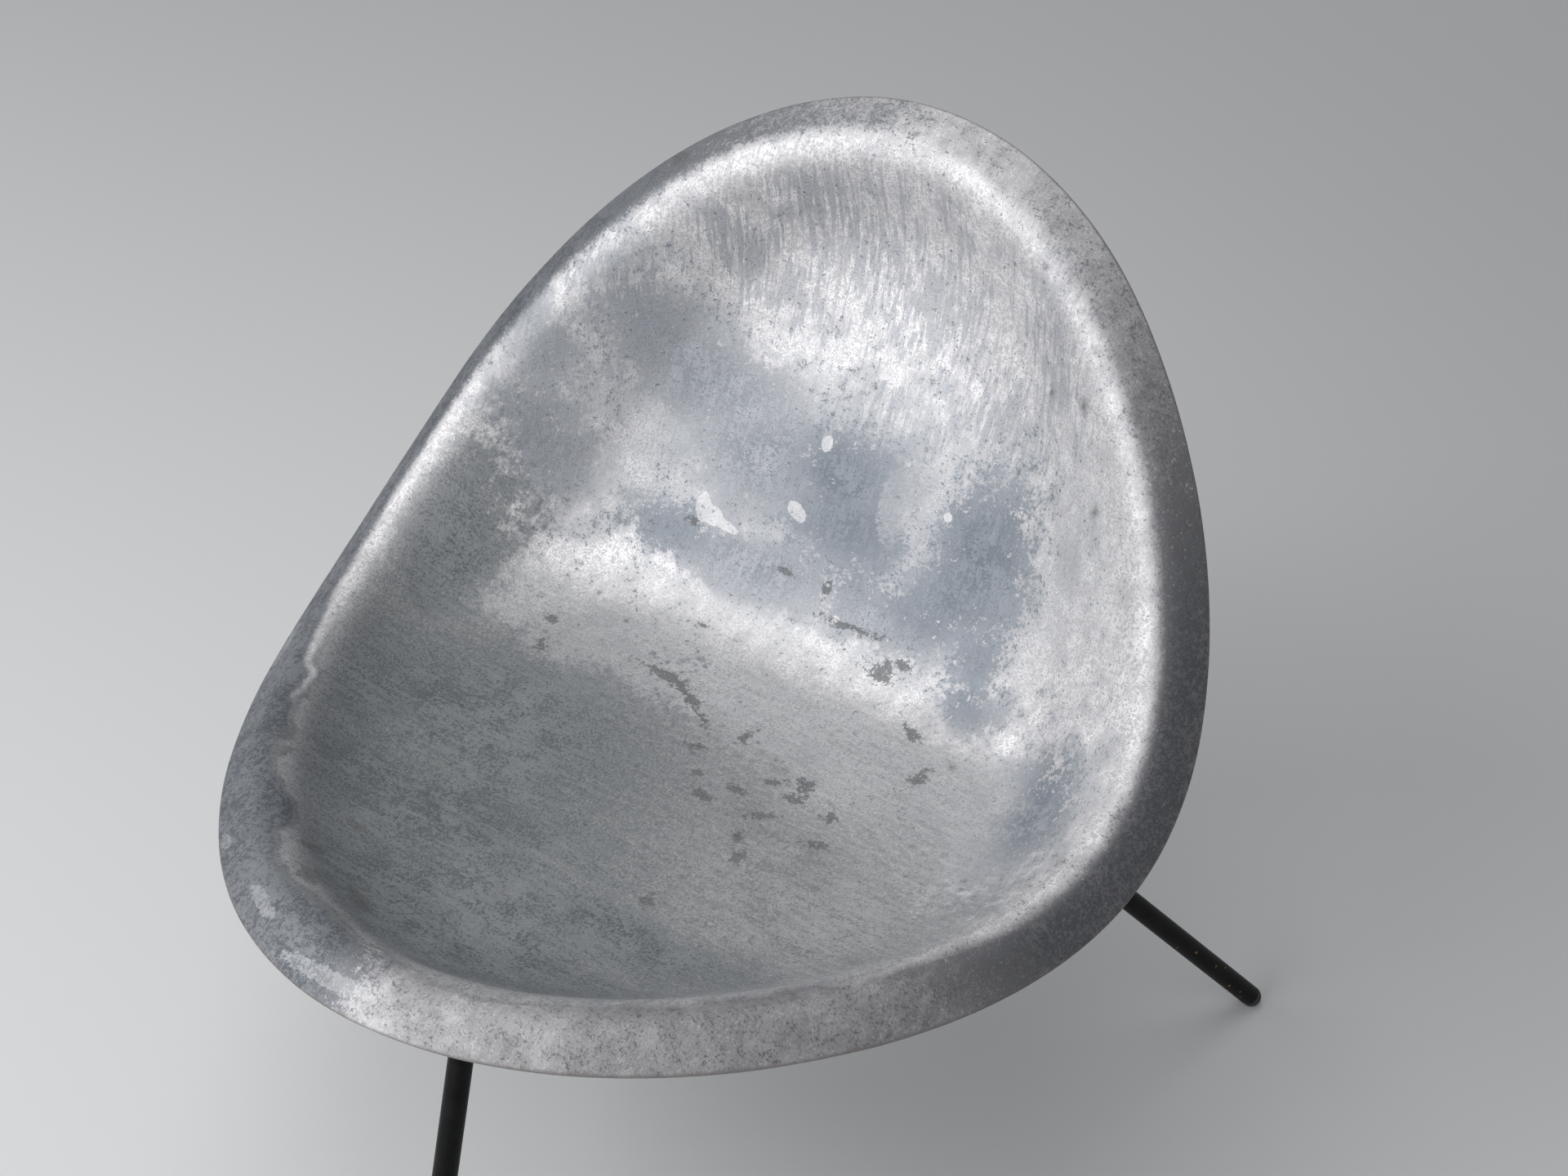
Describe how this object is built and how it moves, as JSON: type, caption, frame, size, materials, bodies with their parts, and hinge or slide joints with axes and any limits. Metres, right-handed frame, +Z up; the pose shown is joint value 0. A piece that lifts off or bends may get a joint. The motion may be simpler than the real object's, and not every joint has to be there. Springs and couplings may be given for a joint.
{
  "type": "tripod bucket chair",
  "caption": "Cast aluminium bucket chair with a rolled rim, an egg-shaped seat and a high back in one shell, on splayed black steel rod legs bolted to bosses under the shell",
  "frame": {"origin": "on the floor, in the middle of the box around the whole chair", "axes": "+Z is up, the sitter faces -Y and +X is the sitter's left hand; the chair is the same on both sides of the plane x = 0"},
  "size_m": [0.6308, 0.6578, 0.6934],
  "materials": {
    "shell_aluminium": "raw cast aluminium with a mottled, weathered patina",
    "black_steel": "satin black",
    "pad_rubber": "matt",
    "fastener_steel": "dull zinc",
    "glide_plastic": "satin black"
  },
  "bodies": {
    "root": {"seat_shell": "shell_aluminium", "leg_front": "black_steel", "leg_rear_left": "black_steel", "leg_rear_right": "black_steel", "flange_front": "black_steel", "flange_rear_left": "black_steel", "flange_rear_right": "black_steel", "pad_front": "pad_rubber", "pad_rear_left": "pad_rubber", "pad_rear_right": "pad_rubber", "washers_front": "fastener_steel", "washers_rear_left": "fastener_steel", "washers_rear_right": "fastener_steel", "screws_front": "fastener_steel", "screws_rear_left": "fastener_steel", "screws_rear_right": "fastener_steel", "glide_front": "glide_plastic", "glide_rear_left": "glide_plastic", "glide_rear_right": "glide_plastic"}
  },
  "joints": []
}
